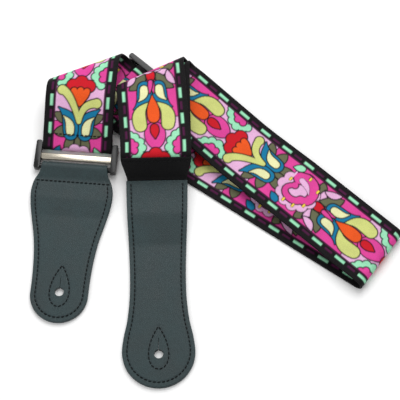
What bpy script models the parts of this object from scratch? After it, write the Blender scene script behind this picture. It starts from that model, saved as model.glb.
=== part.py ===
"""Guitar strap lying folded: printed webbing, two leather button ends, a ring and a slide.

World frame: metres, +Z up, the floor at Z = 0. Lengths below are in millimetres and
degrees, and MM turns them into metres. The neck end lies towards -Y.

A strip (webbing or leather) is described flat, by u across it and s along it, and is
then laid out by a list of bends. bend() rolls it about a line that may slant across it,
and turn() steers it sideways in its own plane.
"""
from math import atan2, cos, degrees, hypot, pi, radians, sin, sqrt

import bmesh
import bpy
import numpy as np
from mathutils import Vector

MM = 0.001
ORIGIN = (1.33, -1.57)        # centre of the outline on the floor, before the shift to (0, 0)

# Webbing
WEB_WIDTH = 50.0
WEB_THICK = 1.5
GAP = 0.3                     # air between neighbouring pieces
PLY = WEB_THICK + GAP         # from the middle of one layer to the next

# Leather ends
LEATHER = 1.3
HOLE_RADIUS = 3.15
SLIT = (0.35, 8.0)            # width and length of the slit above each button hole
THREAD = (0.6, 0.5)           # width and height of a line of stitches
STITCH_INSET = 3.4

# Neck end: the long leather, its top edge and direction
NECK_TOP = (-40.1, 21.6)
NECK_HEADING = 91.3
NECK_LENGTH = 149.0
NECK_HOLE = 23.0              # from the round end
NECK_OUTLINE = ((0, 24.9), (24.9, 24.9), (34, 23.9), (46, 21.4), (60, 19.8), (78, 19.4),
                (100, 20.1), (126, 21.3), (149, 21.9))
SANDWICH = 22.0               # webbing sewn between the leathers
CLIMB = 67.0                  # the webbing rises this steeply out of the leather
GATHER = (24.0, 3.8)          # it is gathered over this length, by this much a side, to enter the leather

# Layers of webbing over the neck end, by the height of their middles
OUTER_TOP, OUTER_FOOT = 24.5, 9.2
INNER_TOP, INNER_FOOT = 21.5, 13.4
OUTER_LENGTH, INNER_LENGTH = 57.5, 59.0
OUTER_HEADING = 95.0
OUTER_CREST, INNER_CREST = 26.2, 24.9      # directions of the two folds
OUTER_TAIL = 34.0
FAR_FOLD, FAR_RADIUS = 52.3, 4.2
BAND_LENGTH = 215.0           # inner crest to far fold
FLOOR_RUN = 155.1             # far fold to the sideways turn
TURN_LENGTH = 50.0

# Tail end: ring, short webbing and the pear-shaped leather
RING_BAR = (-97.9, 49.3)      # the upper bar, which the webbing loops round
TAIL_HEADING = 85.5
BAR_HEIGHT = 3.7
BAR_RADIUS = 1.9
RING_INSIDE, RING_RAIL = 50.8, 4.2
STEEL_AT, LOWER_AT = 9.2, 16.9             # distances below the upper bar
STEEL_BAR = (5.0, 2.2)
STEEL_SOCKET = 2.0
SHORT_CLIMB = 27.0
SHORT_TOP = 24.0
SHORT_LENGTH = 52.0
SHORT_CREST = 22.0
WEDGE = 28.0                  # angle between the two layers of the ring loop
TAIL_OUTLINE = ((0, 20.0), (20, 20.0), (36, 20.3), (50, 21.4), (62, 23.2), (75, 26.2), (88, 28.6),
                (97, 29.0), (104, 27.6), (110, 24.6), (113, 24.0), (160, 24.0))
TAIL_LENGTH = 116.4
TAIL_HOLE = 21.8
FLAP = 24.0                   # leather turned back behind the lower bar

# Slide
SLIDE_AT = 16.0               # beyond the short webbing's crest
SLIDE_LENGTH = 26.0
SLIDE_BAR = 3.4               # width of each bar
SLIDE_THIN = 1.6
SLIDE_CLEAR = 22.0            # flat webbing each side of the slide's middle
SLIDE_HEM = 11.0              # webbing turned back over the centre bar
WEB_AT_SLIDE = 0.2 + SLIDE_THIN + GAP + WEB_THICK / 2
LONG_AT_SLIDE = WEB_AT_SLIDE + PLY
HEM_RADIUS = SLIDE_THIN / 2 + 0.4 + WEB_THICK / 2


def bend(s, angle, radius, slant=0.0):
    """Roll by angle (positive towards the face) about a line across s, slanted by slant."""
    return {"s": s, "angle": angle, "radius": radius, "slant": slant}


def turn(s, angle, length):
    """Steer sideways by angle (positive to the left) from s over length."""
    return {"s": s, "turn": angle, "length": length}


def arc(angle, radius):
    return abs(radians(angle)) * radius


def step(s, rise, angle, radius):
    """Two bends that change height by rise at the given slope, and where they end."""
    sign = 1 if rise > 0 else -1
    run = (abs(rise) - 2 * radius * (1 - cos(radians(angle)))) / sin(radians(angle))
    second = s + arc(angle, radius) + run
    return [bend(s, sign * angle, radius), bend(second, -sign * angle, radius)], second + arc(angle, radius)


class Strip:
    """Maps flat (u, s, h), with h above the middle of the strip, to the folded shape."""

    def __init__(self, bends, at, heading, pitch=0.0, anchor=0.0, face_down=False):
        self.bends = bends
        self.turned, self.moved = np.eye(3), np.zeros(3)
        point, along, face = self.frame(anchor)
        h, p = radians(heading), radians(pitch)
        new_along = np.array([cos(h) * cos(p), sin(h) * cos(p), sin(p)])
        new_face = np.array([-cos(h) * sin(p), -sin(h) * sin(p), cos(p)])
        if face_down:
            new_face = -new_face
        old = np.column_stack([np.cross(along, face), along, face])
        new = np.column_stack([np.cross(new_along, new_face), new_along, new_face])
        self.turned = new @ old.T
        self.moved = np.array(at) - self.turned @ point

    def frame(self, s, u=0.0):
        """A point of the middle surface, the direction along the strip and its face normal."""
        tiny = 1e-3
        point = self.points(u, s)
        return point, (self.points(u, s + tiny) - point) / tiny, self.points(u, s, 1.0) - point

    def points(self, u, s, h=0.0):
        u, s, h = np.broadcast_arrays(np.asarray(u, float), np.asarray(s, float), np.asarray(h, float))
        place = np.stack([u, s, h], -1)
        for item in reversed(self.bends):
            place = self.steer(place, s, item) if "turn" in item else self.roll(place, u, s, item)
        return place @ self.turned.T + self.moved

    @staticmethod
    def steer(place, s, item):
        angle = radians(item["turn"])
        radius = item["length"] / angle
        reached = np.clip((s - item["s"]) / item["length"], 0, 1) * angle
        beyond = np.where(s > item["s"] + item["length"], place[..., 1] - item["s"] - item["length"], 0.0)
        new = place.copy()
        new[..., 0] = (radius + place[..., 0]) * np.cos(reached) - beyond * np.sin(reached) - radius
        new[..., 1] = item["s"] + (radius + place[..., 0]) * np.sin(reached) + beyond * np.cos(reached)
        return np.where((s > item["s"])[..., None], new, place)

    @staticmethod
    def roll(place, u, s, item):
        slant, angle, radius = radians(item["slant"]), radians(item["angle"]), item["radius"]
        sign, angle = (1 if angle > 0 else -1), abs(angle)
        line = np.array([cos(slant), sin(slant), 0.0])
        across = np.array([-sin(slant), cos(slant), 0.0])
        centre = np.array([0.0, item["s"], 0.0])
        distance = u * across[0] + (s - item["s"]) * across[1]
        rest = np.where(distance > radius * angle, (place - centre) @ across - radius * angle, 0.0)
        t = np.clip(distance / radius, 0, angle)
        height = place[..., 2]
        forward = radius * np.sin(t) + rest * np.cos(t) - sign * height * np.sin(t)
        up = sign * (radius * (1 - np.cos(t)) + rest * np.sin(t)) + height * np.cos(t)
        new = centre + ((place - centre) @ line)[..., None] * line + forward[..., None] * across
        new[..., 2] += up
        return np.where((distance > 0)[..., None], new, place)


# Layout of each strip

def climb_out(low, high, first, second):
    """The bends that lift a webbing out of the leather, and where it is level again."""
    lost = (first + second) * (1 - cos(radians(CLIMB)))
    run = (high - low - lost) / sin(radians(CLIMB))
    top = 1 + arc(CLIMB, first) + run
    return [bend(1, CLIMB, first), bend(top, -CLIMB, second)], top + arc(CLIMB, second)


def neck_height(layer):
    """Middle height of a layer inside the neck leather: 0 back leather, 1 and 2 webbing."""
    return LEATHER / 2 if layer == 0 else LEATHER + GAP + WEB_THICK / 2 + (layer - 1) * PLY


def outer_webbing():
    bends, level = climb_out(neck_height(2), OUTER_TOP, 3.7, 4.8)
    crest = level + OUTER_LENGTH
    radius = (OUTER_TOP - OUTER_FOOT) / 2
    bends.append(turn(level + 1, OUTER_HEADING - NECK_HEADING, 12))
    bends.append(bend(crest, -180, radius, OUTER_CREST - (OUTER_HEADING - 90)))
    strip = Strip(bends, (*NECK_TOP, neck_height(2)), NECK_HEADING)
    return strip, crest + arc(180, radius) + OUTER_TAIL


def short_webbing():
    radius = BAR_RADIUS + GAP + WEB_THICK / 2
    slope = radians(SHORT_CLIMB)
    easing = 25.0
    start = BAR_HEIGHT + radius * cos(slope)
    run = (SHORT_TOP - start - easing * (1 - cos(slope))) / sin(slope)
    crest_radius = (SHORT_TOP - WEB_AT_SLIDE) / 2
    flap = arc(180 + WEDGE, radius)
    bends = [bend(-flap - 6.2 - arc(WEDGE, 6), -WEDGE, 6), bend(-flap, -180 - WEDGE, radius)]
    bends[0]["angle"] = WEDGE
    bends.append(bend(run, -SHORT_CLIMB, easing))
    bends.append(bend(SHORT_LENGTH, -180, crest_radius, SHORT_CREST - (TAIL_HEADING - 90)))
    slide = SHORT_LENGTH + arc(180, crest_radius) + SLIDE_AT
    down, end = step(slide + SLIDE_CLEAR, WEB_AT_SLIDE - WEB_THICK / 2, 6, 15)
    heading = radians(TAIL_HEADING)
    at = (RING_BAR[0] - radius * sin(slope) * cos(heading), RING_BAR[1] - radius * sin(slope) * sin(heading), start)
    strip = Strip(bends + down, at, TAIL_HEADING, SHORT_CLIMB)
    return strip, -flap - 6.2 - arc(WEDGE, 6) - 7, slide, end + 3


def long_webbing(slide_point, slide_heading):
    """Neck leather, inner layer, inner crest, band, far fold, floor and the hem round the slide."""
    bends, level = climb_out(neck_height(1), INNER_TOP, 5.5, 3.0)
    crest = level + INNER_LENGTH
    radius = (INNER_TOP - INNER_FOOT) / 2
    bends.append(bend(crest, -180, radius, INNER_CREST - (NECK_HEADING - 90)))
    heading = 2 * INNER_CREST - NECK_HEADING
    start = crest + arc(180, radius) + 18
    bends += [bend(start, 6, 30), bend(start + 60, -6, 30)]
    low = INNER_FOOT - 60 * sin(radians(6))
    lift = 2 * FAR_RADIUS + WEB_THICK / 2 - low
    second = start + 72 + lift / sin(radians(3.5))
    bends += [bend(start + 72, -3.5, 40), bend(second, 3.5, 40)]
    fold = crest + BAND_LENGTH
    bends.append(bend(fold, 180, FAR_RADIUS, heading + 90 - FAR_FOLD))
    heading = 2 * FAR_FOLD - heading
    fold_end = fold + arc(180, FAR_RADIUS)
    bends.append(turn(fold_end + FLOOR_RUN, slide_heading - 180 - heading + 360, TURN_LENGTH))
    steered = fold_end + FLOOR_RUN + TURN_LENGTH
    flat = Strip(bends, (*NECK_TOP, neck_height(1)), NECK_HEADING)
    point, along, _ = flat.frame(steered + 1)
    ahead = float((slide_point - point)[:2] @ along[:2]) + steered + 1
    rise = LONG_AT_SLIDE - WEB_THICK / 2
    loss = rise / sin(radians(6)) - rise / np.tan(radians(6))
    lift_bends, _ = step(ahead - 28 - rise / np.tan(radians(6)), rise, 6, 15)
    wrap = ahead + loss
    bends = bends + lift_bends + [bend(wrap, 180, HEM_RADIUS)]
    over = wrap + arc(180, HEM_RADIUS)
    down, hem_end = step(over + 1.5, 2 * HEM_RADIUS - PLY, 24, 3)
    strip = Strip(bends + down, (*NECK_TOP, neck_height(1)), NECK_HEADING)
    return strip, crest, fold, wrap, max(over + SLIDE_HEM, hem_end + 1)


def neck_front():
    """The front leather lies over two layers of webbing, then steps down to the back leather."""
    high = neck_height(2) + WEB_THICK / 2 + GAP + LEATHER / 2
    low = LEATHER * 1.5 + GAP
    down, _ = step(SANDWICH + 1, low - high, 9, 25)
    return Strip(down, (*NECK_TOP, high), NECK_HEADING + 180)


def tail_front():
    """From the round end up over the lower bar, and a flap behind."""
    low = LEATHER * 1.5 + GAP
    flap_front = low + LEATHER + GAP
    radius = BAR_RADIUS + GAP + LEATHER / 2
    bends, _ = step(TAIL_LENGTH - FLAP - 16, flap_front - low, 7, 20)
    rise = BAR_HEIGHT + radius - flap_front
    run = rise / np.tan(radians(18))
    up, level = step(TAIL_LENGTH - run - 3.5, rise, 18, 6)
    bends += up + [bend(level, -180, radius)]
    behind = level + arc(180, radius)
    sunk = low - (BAR_HEIGHT - radius)
    lower, _ = step(behind + 4, -sunk, 12, 6)
    heading = radians(TAIL_HEADING)
    bar = np.array([*lower_bar(), 0.0])
    strip = Strip(bends + lower, (0, 0, low), TAIL_HEADING)
    top = strip.points(0, level)
    shift = bar - top
    strip.moved += np.array([shift[0], shift[1], 0.0])
    return strip, level, behind + FLAP - 4, heading


def lower_bar():
    h = radians(TAIL_HEADING)
    return RING_BAR[0] - LOWER_AT * cos(h), RING_BAR[1] - LOWER_AT * sin(h)


# Meshes

def place(points):
    """Millimetres in the layout to metres about the outline's centre."""
    return [Vector(((x - ORIGIN[0]) * MM, (y - ORIGIN[1]) * MM, z * MM)) for x, y, z in np.atleast_2d(points)]


def new_object(name, mesh, colour, roughness, metallic=0.0):
    material = bpy.data.materials.new(name)
    material.use_nodes = True
    shader = material.node_tree.nodes["Principled BSDF"]
    shader.inputs["Base Color"].default_value = (*colour, 1.0)
    shader.inputs["Roughness"].default_value = roughness
    shader.inputs["Metallic"].default_value = metallic
    mesh.materials.append(material)
    obj = bpy.data.objects.new(name, mesh)
    bpy.context.scene.collection.objects.link(obj)
    return obj


def skin(name, rings, colour, roughness, metallic=0.0, closed=False, smooth=True):
    """A solid through rings of points, capped at both ends or closed on itself."""
    mesh = bpy.data.meshes.new(name)
    work = bmesh.new()
    rows = [[work.verts.new(p) for p in place(ring)] for ring in rings]
    pairs = list(zip(rows, rows[1:] + rows[:1])) if closed else list(zip(rows, rows[1:]))
    count = len(rows[0])
    for first, second in pairs:
        for i in range(count):
            j = (i + 1) % count
            work.faces.new((first[i], first[j], second[j], second[i]))
    if not closed:
        work.faces.new(reversed(rows[0]))
        work.faces.new(rows[-1])
    bmesh.ops.recalc_face_normals(work, faces=work.faces)
    work.to_mesh(mesh)
    work.free()
    if smooth:
        mesh.shade_smooth()
        mesh.set_sharp_from_angle(angle=radians(35))
    return new_object(name, mesh, colour, roughness, metallic)


def stations(strip, start, end, longest=60.0, degrees_each=18.0):
    """Rows across the strip as (centre s, slant): few where flat, more through bends."""
    rows = [(start, 0.0), (end, 0.0)]
    for item in strip.bends:
        if "turn" in item:
            rows += [(item["s"] + item["length"] * i / 4, 0.0) for i in range(5)]
            continue
        slant = radians(item["slant"])
        length = arc(item["angle"], item["radius"])
        parts = max(2, round(abs(item["angle"]) / degrees_each))
        for i in range(parts + 1):
            rows.append((item["s"] + length * i / parts / cos(slant), item["slant"]))
    rows = sorted(row for row in rows if start <= row[0] <= end)
    filled = [rows[0]]
    for row in rows[1:]:
        gap = row[0] - filled[-1][0]
        steps = int(gap // longest)
        previous = filled[-1]
        for i in range(1, steps + 1):
            share = i / (steps + 1)
            filled.append((previous[0] + gap * share, previous[1] + (row[1] - previous[1]) * share))
        if gap > 0.05:
            filled.append(row)
    return filled


def gathered(s):
    """Half the webbing's width, less where it is gathered to enter the leather."""
    share = min(max(s / GATHER[0], 0.0), 1.0)
    return WEB_WIDTH / 2 - GATHER[1] * (1 - share * share * (3 - 2 * share))


def ribbon(name, strip, start, end, thick, colour, roughness, offset=0.0, gather=False, degrees_each=18.0):
    """A flat strip as a folded solid."""
    rings = []
    for s, slant in stations(strip, start, end, 60.0, degrees_each):
        edge = gathered(s) if gather else WEB_WIDTH / 2
        lean = np.tan(radians(slant))
        corner_u = np.array([-edge, edge, edge, -edge])
        corner_s = np.clip(s + corner_u * lean, start, end)
        corner_h = offset + thick / 2 * np.array([1, 1, -1, -1])
        rings.append(strip.points(corner_u, corner_s, corner_h))
    return skin(name, rings, colour, roughness, smooth=False)


def half_width(outline, t):
    """Half the leather's width at distance t from its round end."""
    radius = outline[0][1]
    if t < radius:
        return sqrt(max(radius ** 2 - (radius - t) ** 2, 0.25))
    knots = np.array(outline[1:], float)
    slopes = np.gradient(knots[:, 1], knots[:, 0])
    slopes[0] = 0.0
    i = int(np.clip(np.searchsorted(knots[:, 0], t) - 1, 0, len(knots) - 2))
    width = knots[i + 1, 0] - knots[i, 0]
    x = min((t - knots[i, 0]) / width, 1.0)
    a, b = knots[i, 1], knots[i + 1, 1]
    return ((1 + 2 * x) * (1 - x) ** 2 * a + x * (1 - x) ** 2 * width * slopes[i]
            + x * x * (3 - 2 * x) * b - x * x * (1 - x) * width * slopes[i + 1])


def leather(name, strip, outline, length, from_top, start, end, colour=(0.03, 0.04, 0.045)):
    """A leather leaf with its curved outline. s runs from the top edge, or from the round end."""
    radius = outline[0][1]
    spots = [radius * (1 - cos(pi / 2 * i / 9)) for i in range(1, 10)]
    spots += list(np.arange(radius + 7, length + 60, 7.0))
    spots = [t for t in spots if start < (length - t if from_top else t) < end]
    rows = [length - t if from_top else t for t in spots]
    rows += [row[0] for row in stations(strip, start, end, 500)]
    rings = []
    last = None
    for s in sorted(rows):
        if last is not None and s - last < 0.35:
            continue
        last = s
        t = length - s if from_top else s
        edge = half_width(outline, max(t, 0.0))
        rings.append(strip.points([-edge, edge, edge, -edge], s, LEATHER / 2 * np.array([1, 1, -1, -1])))
    return skin(name, rings, colour, 0.45, smooth=False)


def thread(name, strip, path, base, colour=(0.01, 0.01, 0.012), closed=False):
    """A line of stitches along flat points (u, s), its underside GAP above height base."""
    points = np.array(path, float)
    if closed:
        ahead, behind = np.roll(points, -1, 0), np.roll(points, 1, 0)
    else:
        ahead = np.vstack([points[1:], 2 * points[-1] - points[-2]])
        behind = np.vstack([2 * points[0] - points[1], points[:-1]])
    along = ahead - behind
    along /= np.linalg.norm(along, axis=1)[:, None]
    side = np.column_stack([-along[:, 1], along[:, 0]]) * THREAD[0] / 2
    face = 1 if base > 0 else -1
    low, high = base + face * GAP, base + face * (GAP + THREAD[1])
    rings = []
    for point, out in zip(points, side):
        left, right = point + out, point - out
        us = np.array([left[0], right[0], right[0], left[0]])
        ss = np.array([left[1], right[1], right[1], left[1]])
        rings.append(strip.points(us, ss, [low, low, high, high]))
    return skin(name, rings, colour, 0.6, closed=closed, smooth=False)


def edge_path(outline, length, from_top, top, spacing=6.0):
    """The line of edge stitches: up one side, round the end and back down the other."""
    radius = outline[0][1] - STITCH_INSET
    arc_points = [(radius * cos(a), outline[0][1] - radius * sin(a)) for a in np.linspace(0, pi, 22)]
    side = [(half_width(outline, t) - STITCH_INSET, t) for t in np.arange(top, outline[0][1] + 2, -spacing)]
    path = side + arc_points + [(-u, t) for u, t in reversed(side)]
    return [(u, length - t if from_top else t) for u, t in path]


def teardrop(hole, length, from_top, half=8.6, tip=19.0, drop=10.5):
    """A closed teardrop round the button hole, its point towards the webbing."""
    points = []
    for i in range(30):
        a = 2 * pi * i / 30
        if abs(a - pi) < 1e-9:
            continue
        u = half * sin(a) * (0.5 - 0.5 * cos(a)) ** 0.42
        t = (drop + tip) / 2 * cos(a)
        points.append((u, hole + (tip - drop) / 2 + t))
    return [(u, length - t if from_top else t) for u, t in points]


def helper(name, mesh):
    """A cutter or operand: left out of the build and drawn as wire."""
    obj = bpy.data.objects.new(name, mesh)
    bpy.context.scene.collection.objects.link(obj)
    obj.hide_render = True
    obj.display_type = "WIRE"
    return obj


def box_mesh(name, frame, low, high):
    """A box between two corners, given in a frame (origin, x, y, z)."""
    mesh = bpy.data.meshes.new(name)
    work = bmesh.new()
    origin, *axes = [np.array(v, float) for v in frame]
    corners = {}
    for i in (0, 1):
        for j in (0, 1):
            for k in (0, 1):
                local = [(low, high)[i][0], (low, high)[j][1], (low, high)[k][2]]
                world = origin + sum(value * axis for value, axis in zip(local, axes))
                corners[i, j, k] = work.verts.new(place(world)[0])
    bmesh.ops.convex_hull(work, input=list(corners.values()))
    bmesh.ops.recalc_face_normals(work, faces=work.faces)
    bmesh.ops.dissolve_limit(work, angle_limit=radians(1), verts=work.verts, edges=work.edges)
    work.to_mesh(mesh)
    work.free()
    return mesh


def rod_mesh(name, frame, half_length, radius, y, z, sides=16):
    """A round bar along the frame's x axis."""
    mesh = bpy.data.meshes.new(name)
    work = bmesh.new()
    origin, ax, ay, az = [np.array(v, float) for v in frame]
    rings = []
    for x in (-half_length, half_length):
        ring = []
        for i in range(sides):
            a = 2 * pi * i / sides
            world = origin + x * ax + (y + radius * cos(a)) * ay + (z + radius * sin(a)) * az
            ring.append(work.verts.new(place(world)[0]))
        rings.append(ring)
    for i in range(sides):
        j = (i + 1) % sides
        work.faces.new((rings[0][i], rings[0][j], rings[1][j], rings[1][i]))
    work.faces.new(rings[0])
    work.faces.new(rings[1])
    bmesh.ops.recalc_face_normals(work, faces=work.faces)
    work.to_mesh(mesh)
    work.free()
    return mesh


def boolean(obj, other, operation):
    modifier = obj.modifiers.new(other.name, "BOOLEAN")
    modifier.operation = operation
    modifier.object = other
    modifier.solver = "EXACT"


def chamfered_rail(name, frame, low, high, chamfer):
    """A side rail whose four upright corners are cut off."""
    mesh = box_mesh(name, frame, low, high)
    work = bmesh.new()
    work.from_mesh(mesh)
    upright = [e for e in work.edges if abs((e.verts[0].co - e.verts[1].co).normalized().z) > 0.9]
    bmesh.ops.bevel(work, geom=upright, offset=chamfer * MM, segments=2, affect="EDGES", profile=0.5)
    work.to_mesh(mesh)
    work.free()
    return mesh


def add_buckle(name, frame, half_inside, rail, y_range, z_range, bars, colour, roughness):
    """Two side rails joined by bars. Each bar is ('rod', y, z) or ('flat', y0, y1, z0, z1)."""
    inside, outside = half_inside, half_inside + rail
    left = chamfered_rail(name, frame, (-outside, y_range[0], z_range[0]), (-inside, y_range[1], z_range[1]), 1.3)
    body = new_object(name, left, colour, roughness)
    right = chamfered_rail(name + "_right", frame, (inside, y_range[0], z_range[0]),
                           (outside, y_range[1], z_range[1]), 1.3)
    parts = [helper(name + "_right", right)]
    for i, bar in enumerate(bars):
        if bar[0] == "rod":
            mesh = rod_mesh(f"{name}_bar{i}", frame, inside + rail / 2, BAR_RADIUS, bar[1], bar[2])
        else:
            reach = inside + rail / 2
            mesh = box_mesh(f"{name}_bar{i}", frame, (-reach, bar[1], bar[3]), (reach, bar[2], bar[4]))
        parts.append(helper(f"{name}_bar{i}", mesh))
    for part in parts[1:] + parts[:1]:
        boolean(body, part, "UNION")
    return body


def button_cutter(name, strip, s, towards_top):
    """A round hole with a slit, as one cutter through the leather at s."""
    point, along, face = strip.frame(s)
    along = along * (1 if towards_top else -1)
    across = np.cross(along, face)
    deep = 6.0
    outline = []
    slit_half = SLIT[0] / 2
    start = degrees(np.arcsin(slit_half / HOLE_RADIUS))
    for a in np.linspace(90 + start, 450 - start, 22):
        outline.append((HOLE_RADIUS * cos(radians(a)), HOLE_RADIUS * sin(radians(a))))
    outline += [(slit_half, HOLE_RADIUS + SLIT[1]), (-slit_half, HOLE_RADIUS + SLIT[1])]
    mesh = bpy.data.meshes.new(name)
    work = bmesh.new()
    layers = []
    for depth in (-deep, deep):
        layers.append([work.verts.new(place(point + x * across + y * along + depth * face)[0]) for x, y in outline])
    count = len(outline)
    for i in range(count):
        j = (i + 1) % count
        work.faces.new((layers[0][i], layers[0][j], layers[1][j], layers[1][i]))
    work.faces.new(layers[0])
    work.faces.new(layers[1])
    bmesh.ops.recalc_face_normals(work, faces=work.faces)
    work.to_mesh(mesh)
    work.free()
    return helper(name, mesh)


def set_origin(obj, point):
    """Move an object's origin to a point of the layout, such as its hinge's axis."""
    place_at = place(point)[0]
    for vertex in obj.data.vertices:
        vertex.co -= place_at
    obj.location = place_at


# Assembly

PRINT, BLACK, PLASTIC, STEEL = (0.55, 0.12, 0.35), (0.012, 0.012, 0.014), (0.01, 0.012, 0.012), (0.6, 0.58, 0.54)


def build_webbing():
    outer, outer_end = outer_webbing()
    short, short_start, slide_s, short_end = short_webbing()
    slide_point, slide_along, slide_face = short.frame(slide_s)
    heading = degrees(atan2(slide_along[1], slide_along[0]))
    main, _, _, _, main_end = long_webbing(slide_point, heading)
    half = WEB_WIDTH / 2
    ribbon("long_webbing", main, -SANDWICH, main_end, WEB_THICK, PRINT, 0.8, gather=True)
    ribbon("front_webbing", outer, -SANDWICH, outer_end, WEB_THICK, PRINT, 0.8, gather=True)
    ribbon("short_webbing", short, short_start, short_end, WEB_THICK, PRINT, 0.8, degrees_each=13.0)
    tape = WEB_THICK / 2 + GAP + 0.4
    ribbon("neck_end_tape", outer, 0.6, 23.0, 0.8, BLACK, 0.9, offset=tape, gather=True)
    thread("tape_stitch", outer, [(-half + 2, 20.5), (half - 2, 20.5)], tape + 0.4)
    thread("outer_hem_stitch", outer, [(-half + 3, outer_end - 5), (half - 3, outer_end - 5)], -WEB_THICK / 2)
    thread("ring_loop_stitch", short, [(-half + 2, 8.5), (half - 2, 8.5)], WEB_THICK / 2)
    thread("slide_loop_stitch", main, [(-half + 2, main_end - 3), (half - 2, main_end - 3)], -WEB_THICK / 2)
    build_slide(slide_point, slide_along, heading)


def build_slide(point, along, heading):
    h = radians(heading)
    frame = ((point[0], point[1], 0), (-sin(h), cos(h), 0), (cos(h), sin(h), 0), (0, 0, 1))
    half, bar = SLIDE_LENGTH / 2, SLIDE_BAR
    centre = LONG_AT_SLIDE + HEM_RADIUS
    low = (0.2, 0.2 + SLIDE_THIN)
    bars = [("flat", -half + 0.2, -half + bar, *low), ("flat", half - bar, half - 0.2, *low),
            ("flat", -0.6, 0.6, centre - SLIDE_THIN / 2, centre + SLIDE_THIN / 2)]
    slide = add_buckle("slide_frame", frame, RING_INSIDE / 2, RING_RAIL, (-half, half),
                       (0.0, centre + SLIDE_THIN / 2 + 0.6), bars, PLASTIC, 0.25)
    set_origin(slide, (point[0], point[1], centre))


def build_ring():
    h = radians(TAIL_HEADING)
    frame = ((*RING_BAR, 0), (sin(h), -cos(h), 0), (cos(h), sin(h), 0), (0, 0, 1))
    inside = RING_INSIDE / 2
    tall = (BAR_HEIGHT - 2.3, BAR_HEIGHT + 2.3)
    bars = [("rod", 0.0, BAR_HEIGHT), ("rod", -LOWER_AT, BAR_HEIGHT)]
    body = add_buckle("ring_frame", frame, inside, RING_RAIL, (-LOWER_AT - 2.6, 2.6), tall, bars, PLASTIC, 0.25)
    wide, thick = STEEL_BAR[0] / 2, STEEL_BAR[1] / 2
    reach = inside + STEEL_SOCKET
    socket = box_mesh("steel_socket", frame, (-reach - GAP, -STEEL_AT - wide - GAP, BAR_HEIGHT - thick - GAP),
                      (reach + GAP, -STEEL_AT + wide + GAP, BAR_HEIGHT + thick + GAP))
    boolean(body, helper("steel_socket", socket), "DIFFERENCE")
    steel = box_mesh("ring_cross_bar", frame, (-reach, -STEEL_AT - wide, BAR_HEIGHT - thick),
                     (reach, -STEEL_AT + wide, BAR_HEIGHT + thick))
    bar = new_object("ring_cross_bar", steel, STEEL, 0.25, 1.0)
    edge = bar.modifiers.new("edge", "BEVEL")
    edge.width = 0.5 * MM
    edge.segments = 2
    set_origin(body, (*RING_BAR, BAR_HEIGHT))
    set_origin(bar, (*RING_BAR, BAR_HEIGHT))


def build_neck():
    front = neck_front()
    back = Strip([], (*NECK_TOP, neck_height(0)), NECK_HEADING + 180)
    bottom = NECK_LENGTH - 0.01
    hole_s = NECK_LENGTH - NECK_HOLE
    front_leaf = leather("neck_leather_front", front, NECK_OUTLINE, NECK_LENGTH, True, 0.0, bottom)
    back_leaf = leather("neck_leather_back", back, NECK_OUTLINE, NECK_LENGTH, True, 0.0, bottom)
    cutter = button_cutter("neck_hole", back, hole_s, False)
    boolean(front_leaf, cutter, "DIFFERENCE")
    boolean(back_leaf, cutter, "DIFFERENCE")
    top = LEATHER / 2
    thread("neck_edge_stitch", front, edge_path(NECK_OUTLINE, NECK_LENGTH, True, NECK_LENGTH - 2), top)
    thread("neck_button_stitch", front, teardrop(NECK_HOLE, NECK_LENGTH, True), top, closed=True)


def build_tail():
    front, level, flap_end, _ = tail_front()
    point, along, _ = front.frame(1.0)
    start = point - along
    back = Strip([], (start[0], start[1], LEATHER / 2), TAIL_HEADING)
    front_leaf = leather("tail_leather_front", front, TAIL_OUTLINE, TAIL_LENGTH, False, 0.01, flap_end)
    back_leaf = leather("tail_leather_back", back, TAIL_OUTLINE, TAIL_LENGTH, False, 0.01, TAIL_LENGTH - 14)
    cutter = button_cutter("tail_hole", back, TAIL_HOLE, True)
    boolean(front_leaf, cutter, "DIFFERENCE")
    boolean(back_leaf, cutter, "DIFFERENCE")
    top = LEATHER / 2
    cross = TAIL_LENGTH - 13
    edge = thread("tail_edge_stitch", front, edge_path(TAIL_OUTLINE, TAIL_LENGTH, False, cross - 1.5), top)
    button = thread("tail_button_stitch", front, teardrop(TAIL_HOLE, TAIL_LENGTH, False), top, closed=True)
    half = half_width(TAIL_OUTLINE, cross) - 1.2
    line = thread("tail_cross_stitch", front, [(-half, cross), (half, cross)], top)
    for piece in (front_leaf, back_leaf, edge, button, line):
        set_origin(piece, (*lower_bar(), BAR_HEIGHT))


def main():
    for obj in list(bpy.data.objects):
        bpy.data.objects.remove(obj)
    build_webbing()
    build_ring()
    build_neck()
    build_tail()


main()
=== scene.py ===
"""Looks for the folded guitar strap: printed webbing, grained leather ends, moulded ring and slide."""

from math import atan2, cos, degrees, pi, radians, sin, sqrt

import bmesh
import bpy
import numpy as np
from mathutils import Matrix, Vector


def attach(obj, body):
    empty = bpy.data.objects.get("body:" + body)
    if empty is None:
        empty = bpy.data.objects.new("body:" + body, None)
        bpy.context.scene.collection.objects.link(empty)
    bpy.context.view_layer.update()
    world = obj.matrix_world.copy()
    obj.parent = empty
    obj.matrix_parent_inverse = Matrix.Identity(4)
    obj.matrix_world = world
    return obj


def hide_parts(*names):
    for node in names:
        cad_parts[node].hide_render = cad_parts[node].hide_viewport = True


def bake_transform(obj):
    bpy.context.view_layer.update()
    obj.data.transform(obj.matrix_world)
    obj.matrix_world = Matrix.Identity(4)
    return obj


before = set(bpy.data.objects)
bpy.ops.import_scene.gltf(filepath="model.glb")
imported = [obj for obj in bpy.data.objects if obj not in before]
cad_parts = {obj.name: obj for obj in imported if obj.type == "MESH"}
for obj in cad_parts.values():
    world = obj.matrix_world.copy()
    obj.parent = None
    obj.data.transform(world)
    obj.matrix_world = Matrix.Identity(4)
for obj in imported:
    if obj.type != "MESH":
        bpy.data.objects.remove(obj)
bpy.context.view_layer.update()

# ---- Layout, in millimetres and degrees: the same bends as the CAD -------------------------------

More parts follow.
